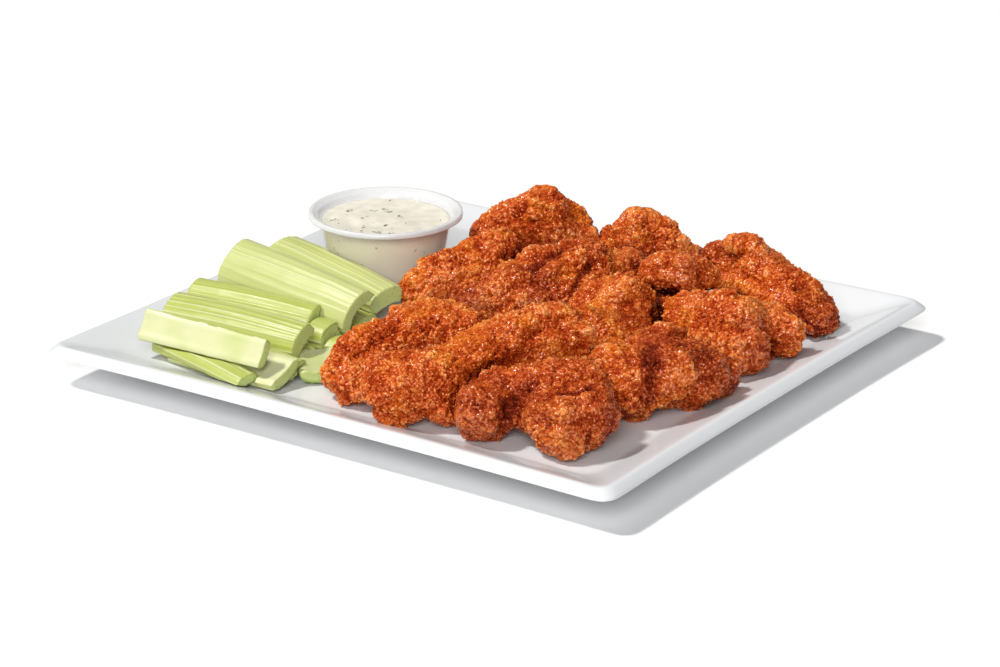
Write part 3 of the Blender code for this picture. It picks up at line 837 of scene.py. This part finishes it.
def scramble(x, y, z, seed):
    """A repeatable share from 0 to 1 for each whole-number place; the odd factors mix its bits."""
    mixed = x * np.uint32(0x8DA6B343) + y * np.uint32(0xD8163841) + z * np.uint32(0xCB1AB31F)
    mixed += np.uint32(seed * 7919)
    mixed ^= mixed >> np.uint32(15)
    mixed *= np.uint32(0x2C1B3C6D)
    mixed ^= mixed >> np.uint32(12)
    mixed *= np.uint32(0x297A2D39)
    mixed ^= mixed >> np.uint32(15)
    return mixed.astype(np.float32) / np.float32(4294967295.0)


def cell_of(points, size):
    """Whole-number places of points in a grid of a size, and where they lie within them."""
    scaled = points / size + 1000.0
    whole = np.floor(scaled)
    return whole.astype(np.uint32).T, (scaled - whole).astype(np.float32).T


def soft_noise(points, size, seed):
    """Smooth noise from -1 to 1 with waves of a size."""
    (x, y, z), inside = cell_of(points, size)
    fade = inside * inside * inside * (inside * (inside * 6 - 15) + 10)
    total = np.zeros(len(points), np.float32)
    for corner in range(8):
        step = (corner & 1, corner >> 1 & 1, corner >> 2)
        weight = np.ones(len(points), np.float32)
        for at, share in zip(step, fade):
            weight *= share if at else 1 - share
        total += weight * scramble(x + np.uint32(step[0]), y + np.uint32(step[1]),
                                   z + np.uint32(step[2]), seed)
    return 2 * total - 1


def bend(points, size, reach, seed):
    """Points moved about by smooth noise, so that cells between them lose their regular look."""
    moved = [soft_noise(points, size, seed + channel) for channel in range(3)]
    return points + reach * np.array(moved).T


def grain_field(points, size, seed):
    """Height and own random share of the grain that each point lies in."""
    (x, y, z), (u, v, w) = cell_of(points, size)
    first = np.full(len(points), 9.0, np.float32)
    second = first.copy()
    share = np.zeros(len(points), np.float32)
    for step in range(27):
        i, j, k = step % 3, step // 3 % 3, step // 9
        near = (x + np.uint32(i) - np.uint32(1), y + np.uint32(j) - np.uint32(1),
                z + np.uint32(k) - np.uint32(1))
        away = (i - 1 + scramble(*near, seed) - u) ** 2
        away += (j - 1 + scramble(*near, seed + 1) - v) ** 2
        away += (k - 1 + scramble(*near, seed + 2) - w) ** 2
        closer = away < first
        second = np.where(closer, first, np.minimum(second, away))
        first = np.where(closer, away, first)
        share = np.where(closer, scramble(*near, seed + 3), share)
    nearest = np.sqrt(first)
    crease = np.minimum(1.0, (np.sqrt(second) - nearest) / 0.22)
    domed = 1.0 - np.minimum(1.0, nearest / 0.95) ** 2
    return domed * (0.20 + 0.80 * crease), share


def long_axis(points):
    """Middle and direction of the longest way through a cloud of points."""
    middle = points.mean(axis=0)
    _, _, axes = np.linalg.svd(points - middle, full_matrices=False)
    return middle, axes[0]


def stretched_along(points, axis, amount):
    """Points squeezed along an axis, so that what is made from them draws out along it."""
    along = points @ axis
    return points - np.outer(along * (1 - 1 / amount), axis)


def furrow_lift(node, points):
    """Rise and fall of the wing's own swellings and furrows."""
    lift = np.zeros(len(points))
    for *ends, reach, height in FURROWS[node]:
        start, end = np.array(ends).reshape(2, 3) * MM
        run = end - start
        share = np.clip((points - start) @ run / (run @ run), 0, 1)
        away = np.linalg.norm(points - start - share[:, None] * run, axis=1)
        lift += height * MM * np.exp(-(away / (reach * MM)) ** 2)
    return lift


def crowding(skins):
    """How closely the other wings beset each skin, point by point, from 0 to 1."""
    low, high = (np.array(corner) for corner in CAD_BOX)
    steps = ((high - low) / CROWD_CELL).astype(int) + 2 * CROWD_MARGIN + 1
    places = {}
    fields = {}
    for node, mesh in skins.items():
        cells = ((read_points(mesh) - low) / CROWD_CELL).astype(int) + CROWD_MARGIN
        places[node] = tuple(cells.T)
        field = np.zeros(steps, np.float32)
        field[places[node]] = 1.0
        for axis in (0, 1, 2) * 3:
            field = (np.roll(field, 1, axis) + field + np.roll(field, -1, axis)) / 3
        fields[node] = field
    total = sum(fields.values())
    return {node: np.clip((total - fields[node])[places[node]] / CROWD_FULL, 0, 1)
            for node in skins}


def smooth_skin(node, settings, material):
    """The wing before its crust, with its mesh no finer than SKIN_FACES squares over it."""
    shape = merged_copy(node)
    area = sum(face.calc_area() for face in shape.faces)
    voxel = max(settings.voxel, math.sqrt(area / SKIN_FACES))
    return remeshed(node + "_crust", shape, voxel, material, 2, 4)


def grow_crust(node, mesh, crowd, settings):
    """Pushes the smooth skin into folds, knobs and grains, and adds its attributes."""
    seed = 40 * int(node[-2:])
    low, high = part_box(node)
    points = read_points(mesh)
    middle, axis = long_axis(points)
    bent = bend(points, 0.006, 0.0018, seed)
    folds = np.abs(soft_noise(stretched_along(bent, axis, 2.0), FOLD_SIZE, seed + 7))
    folds += 0.5 * np.abs(soft_noise(stretched_along(bent, axis, 1.5), FOLD_SIZE / 2, seed + 27))
    folds -= USUAL_FOLD
    lobe, lobe_share = grain_field(bent, LOBE_SIZE, seed + 37)
    lobes = lobe * (0.2 + 0.8 * lobe_share) - USUAL_LOBE
    knob, knob_share = grain_field(bend(points, 0.003, 0.0009, seed + 31), KNOB_SIZE, seed + 3)
    knobs = knob * (0.3 + 0.7 * knob_share) - USUAL_KNOB
    rough = np.clip(0.5 + 1.1 * soft_noise(points, 0.011, seed + 29), 0.08, 1.0)
    own = furrow_lift(node, bend(points, 0.004, 0.0012, seed + 51))
    lift = 0.00030 + settings.lump_height * (1.5 * folds + 0.7 * lobes)
    lift += settings.knob_height * rough * knobs + own - settings.gap_depth * crowd
    lifted = points + read_points(mesh, "normal") * lift[:, None]
    write_points(mesh, lifted)
    bent = bend(points, 0.0014, 0.0005, seed + 9)
    grain, shades = grain_field(bent, GRAIN_SIZE, seed + 13)
    small = grain * (0.3 + 0.7 * shades) - USUAL_GRAIN
    points = lifted + read_points(mesh, "normal") * (settings.grain_height * small)[:, None]
    write_points(mesh, points)
    run = (points - middle) @ axis
    run = run / np.abs(run).max()
    ends = np.clip((np.abs(run) - 0.60) / 0.40, 0, 1) ** 1.5
    # Painted shade: darker towards the bottom of the wing.
    under = np.clip(0.5 - (points[:, 2] - low.z) / max(0.001, high.z - low.z) * 1.6, 0, 1)
    patchy = 0.35 * np.clip(soft_noise(points, 0.014, seed + 21) + 0.1, 0, 1)
    sunk = np.clip(-own / 0.002, 0, 1)
    # Colour height from the grains, knobs, folds and lobes, lowered for painted shade where other
    # wings crowd close and in the sunk furrows.
    relief = 0.45 + 0.45 * small + 0.34 * rough * knobs + 0.26 * folds
    relief += 0.16 * lobes - 0.42 * crowd - 0.16 * sunk
    write_attribute(mesh, "relief", np.clip(relief, 0, 1))
    write_attribute(mesh, "grain", shades)
    # Browning at the ends, in patches and for each wing, plus painted shade low on the wing, where
    # wings crowd each other and in the furrows.
    toast = 0.6 * ends + 0.3 * under + patchy + crowd + 0.4 * sunk + BROWNED.get(node, 0.0)
    write_attribute(mesh, "toast", np.clip(toast, 0, 1))


def make_wings(settings):
    """The twelve wings. All the skins come first, as each crust draws back from the others."""
    material = crust_finish(settings)
    skins = {node: smooth_skin(node, settings, material) for node in WINGS}
    crowds = crowding(skins)
    for node, mesh in skins.items():
        grow_crust(node, mesh, crowds[node], settings)
        settle(add_piece(node + "_crust", mesh, material), "fried_crust", node)
    make_crumbs(settings, material)


def make_crumbs(settings, material):
    """Crumbs that stand on the crust of the wings."""
    rng = np.random.default_rng(7)
    meshes = [bpy.data.objects[node + "_crust"].data for node in WINGS]
    points = np.concatenate([read_points(mesh) for mesh in meshes])
    normals = np.concatenate([read_points(mesh, "normal") for mesh in meshes])
    toast_and_shade_values = np.concatenate([read_attribute(mesh, "toast") for mesh in meshes])
    picks = rng.integers(0, len(points), settings.crumb_count)
    sizes = 0.00028 + 0.00055 * rng.random(len(picks)) ** 2.5
    middles = points[picks] + normals[picks] * (0.35 * sizes)[:, None]
    mesh = scattered_bits(middles, normals[picks], sizes, (0.5, 0.9), (0.45, 0.8), 0.5, rng)
    corners = len(mesh.vertices) // len(picks)
    write_attribute(mesh, "relief", rng.uniform(0.45, 1.0, len(mesh.vertices)))
    write_attribute(mesh, "grain", np.repeat(rng.random(len(picks)), corners))
    # Each crumb takes the browning and painted shade of the spot that it stands on.
    write_attribute(mesh, "toast", np.repeat(toast_and_shade_values[picks], corners))
    settle(add_piece("crust_crumbs", mesh, material), "fried_crust")


# ---------------- celery

def stick_turn(node):
    """The turn from a stick's own length, width and height to the frame."""
    heading, tilt, roll = (math.radians(angle) for angle in STICK_TURNS[node])
    turn = Matrix.Rotation(heading, 3, "Z") @ Matrix.Rotation(-tilt, 3, "Y")
    return turn @ Matrix.Rotation(roll, 3, "X")


def make_stick(node, settings, material):
    """One stick with ribs along its outer side, and the attributes that its finish reads."""
    seed = int(node[-2:])
    mesh = remeshed(node + "_stick", merged_copy(node), STICK_CELL, material, 0, 6)
    points = read_points(mesh)
    normals = read_points(mesh, "normal")
    turn = np.array(stick_turn(node))
    local = points @ turn
    local_normals = normals @ turn
    low = local.min(axis=0)
    high = local.max(axis=0)
    x, y, z = (local - (low + high) / 2).T
    half = (high - low) / 2
    end = np.clip((np.abs(local_normals[:, 0]) - 0.60) / 0.25, 0, 1)
    inner = np.clip((-local_normals[:, 2] - 0.35) / 0.35, 0, 1) * (1 - end)
    arch = np.arctan2((z + half[2]) / (2 * half[2]) + 0.05, y / half[1])
    across = arch * half[1] * 1.2
    ribs = np.zeros(len(points))
    drift = 0.0007 * soft_noise(np.stack([x, 0 * x, 0 * x], axis=1), 0.030, seed * 11)
    rng = random.Random(seed * 17)
    at = -0.4 * settings.rib_pitch
    while at < 1.2 * math.pi * half[1]:
        at += settings.rib_pitch * rng.uniform(0.55, 1.25)
        strength = rng.choice((0.35, 0.6, 1.0))
        ribs = np.maximum(ribs, strength * np.exp(-((across + drift - at) / RIB_WIDTH) ** 2))
    outer = (1 - inner) * (1 - end)
    furrow = inner * 0.3 * np.cos(y / 0.0012)
    lift = settings.rib_height * (outer * (ribs - 0.15) + furrow)
    ripple = 0.00012 * soft_noise(stretched_along(points, turn[:, 0], 6.0), 0.0035, seed * 7)
    points = points + normals * (lift + ripple * (1 - end))[:, None]
    write_points(mesh, points)
    write_attribute(mesh, "along", x)
    write_attribute(mesh, "across", across)
    write_attribute(mesh, "rib", ribs * outer)
    write_attribute(mesh, "inner", inner)
    write_attribute(mesh, "pale", np.full(len(points), PALE_STICKS.get(node, 0.0)))
    write_attribute(mesh, "end", end)
    write_attribute(mesh, "core", edge_share(y, z, half))
    piece = add_piece(node + "_stick", mesh, material)
    settle(piece, "celery", node)


def edge_share(y, z, half):
    """How deep a spot on a cut end lies inside the stick's outline, from 0 to 1."""
    across = np.clip(np.abs(y) / half[1], 0, 1)
    roof = half[2] * (2 * (0.25 + 0.75 * np.sqrt(1 - across ** 2)) - 1)
    return np.clip(np.minimum(roof - z, (half[1] - np.abs(y))) / 0.003, 0, 1)


def make_celery(settings):
    material = celery_finish(settings)
    for node in STICKS:
        make_stick(node, settings, material)


# ---------------- stage

def add_sun(name, towards, spread, power, colour):
    """A far, soft light that comes from a direction."""
    data = bpy.data.lights.new(name, "SUN")
    data.angle = math.radians(spread)
    data.energy = power
    data.color = colour
    lamp = bpy.data.objects.new(name, data)
    lamp.location = towards
    lamp.rotation_euler = towards.to_track_quat("Z", "Y").to_euler()
    bpy.context.scene.collection.objects.link(lamp)


def make_stage(settings):
    """The floor, the camera, the two lights and the light from all round."""
    shape = bmesh.new()
    bmesh.ops.create_grid(shape, x_segments=8, y_segments=8, size=6.0)
    floor = add_piece("floor", shape, floor_finish(), smooth=False)
    camera_data = bpy.data.cameras.new("camera")
    camera_data.sensor_width = SENSOR_MM
    camera_data.lens = LENS_MM
    camera_data.clip_start = 0.05
    camera = bpy.data.objects.new("camera", camera_data)
    heading = settings.camera_heading
    elevation = settings.camera_elevation
    back = Vector((math.sin(heading) * math.cos(elevation),
                   -math.cos(heading) * math.cos(elevation), math.sin(elevation)))
    camera.location = AIM + back * settings.camera_distance
    camera.rotation_euler = (-back).to_track_quat("-Z", "Y").to_euler()
    bpy.context.scene.collection.objects.link(camera)
    bpy.context.scene.camera = camera
    around = Matrix.Rotation(heading, 3, "Z")
    add_sun("key_light", around @ Vector(KEY_FROM), 7, settings.key_power, (1.0, 0.985, 0.96))
    add_sun("fill_light", around @ Vector(FILL_FROM), 30, settings.fill_power, (0.98, 0.99, 1.0))
    world = bpy.data.worlds.new("studio")
    world.use_nodes = True
    sky = world.node_tree.nodes["Background"]
    sky.inputs["Color"].default_value = (1.0, 1.0, 1.0, 1.0)
    sky.inputs["Strength"].default_value = settings.sky_power
    bpy.context.scene.world = world
    bpy.context.scene.view_settings.view_transform = "Standard"


# ---------------- operators and panel

class SERVING_OT_plate(bpy.types.Operator):
    """Glazed dinner plate in place of the frame's plate"""
    bl_idname = "serving.plate"
    bl_label = "Plate"

    def execute(self, context):
        make_plate(context.scene.serving_tableware)
        return {"FINISHED"}


class SERVING_OT_cup(bpy.types.Operator):
    """Clear portion cup in place of the frame's cup"""
    bl_idname = "serving.cup"
    bl_label = "Cup"

    def execute(self, context):
        make_cup(context.scene.serving_tableware)
        return {"FINISHED"}


class SERVING_OT_dip(bpy.types.Operator):
    """Stirred cream dip with its herb flecks"""
    bl_idname = "serving.dip"
    bl_label = "Dip and herbs"

    def execute(self, context):
        make_dip(context.scene.serving_dip)
        make_herbs(context.scene.serving_dip)
        return {"FINISHED"}


class SERVING_OT_wings(bpy.types.Operator):
    """Crumbly crust of the twelve wings, with the crumbs that stand on it"""
    bl_idname = "serving.wings"
    bl_label = "Wings"

    def execute(self, context):
        make_wings(context.scene.serving_crust)
        return {"FINISHED"}


class SERVING_OT_celery(bpy.types.Operator):
    """Ribbed celery sticks"""
    bl_idname = "serving.celery"
    bl_label = "Celery"

    def execute(self, context):
        make_celery(context.scene.serving_celery)
        return {"FINISHED"}


class SERVING_OT_stage(bpy.types.Operator):
    """Pale floor, soft lights and the camera"""
    bl_idname = "serving.stage"
    bl_label = "Stage"

    def execute(self, context):
        make_stage(context.scene.serving_stage)
        return {"FINISHED"}


OPERATORS = (SERVING_OT_plate, SERVING_OT_cup, SERVING_OT_dip, SERVING_OT_wings,
             SERVING_OT_celery, SERVING_OT_stage)
SETTINGS = {
    "serving_tableware": TablewareSettings,
    "serving_dip": DipSettings,
    "serving_crust": CrustSettings,
    "serving_celery": CelerySettings,
    "serving_stage": StageSettings,
}


class SERVING_PT_panel(bpy.types.Panel):
    """Lists the serving's operators and settings"""
    bl_idname = "SERVING_PT_panel"
    bl_label = "Chicken wings serving"
    bl_space_type = "VIEW_3D"
    bl_region_type = "UI"
    bl_category = "Serving"

    def draw(self, context):
        for operator in OPERATORS:
            self.layout.operator(operator.bl_idname)
        for name, group in SETTINGS.items():
            box = self.layout.box()
            for prop in group.__annotations__:
                box.prop(getattr(context.scene, name), prop)


def register():
    for group in SETTINGS.values():
        bpy.utils.register_class(group)
    for name, group in SETTINGS.items():
        setattr(bpy.types.Scene, name, PointerProperty(type=group))
    for operator in OPERATORS:
        bpy.utils.register_class(operator)
    bpy.utils.register_class(SERVING_PT_panel)


def unregister():
    bpy.utils.unregister_class(SERVING_PT_panel)
    for operator in reversed(OPERATORS):
        bpy.utils.unregister_class(operator)
    for name in SETTINGS:
        delattr(bpy.types.Scene, name)
    for group in SETTINGS.values():
        bpy.utils.unregister_class(group)


def main():
    register()
    bpy.ops.serving.plate()
    bpy.ops.serving.cup()
    bpy.ops.serving.dip()
    bpy.ops.serving.celery()
    bpy.ops.serving.wings()
    bpy.ops.serving.stage()
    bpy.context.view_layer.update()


if __name__ == "__main__":
    main()
